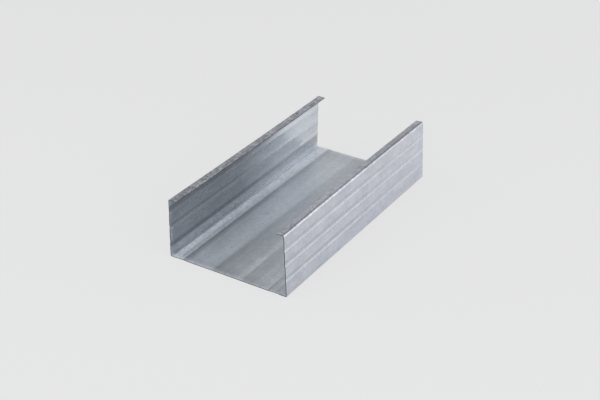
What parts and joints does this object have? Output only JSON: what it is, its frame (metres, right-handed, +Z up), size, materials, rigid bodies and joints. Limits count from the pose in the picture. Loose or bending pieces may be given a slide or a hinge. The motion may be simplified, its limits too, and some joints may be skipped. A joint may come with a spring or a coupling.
{
  "type": "steel stud",
  "caption": "Short length of roll-formed C-section steel stud with unequal lipped flanges, grooved along their length.",
  "frame": {"origin": "middle of the web's outer side, half way along the stud, which is also the bottom centre of the part as it lies", "axes": "+Y along the stud, +Z up from the web towards the lips, +X from the shorter flange to the longer one"},
  "size_m": [0.0988, 0.2, 0.0485],
  "materials": {
    "galvanised_steel": "zinc-coated, satin, with faint spangle and roll marks"
  },
  "bodies": {
    "root": {"stud": "galvanised_steel"}
  },
  "joints": []
}
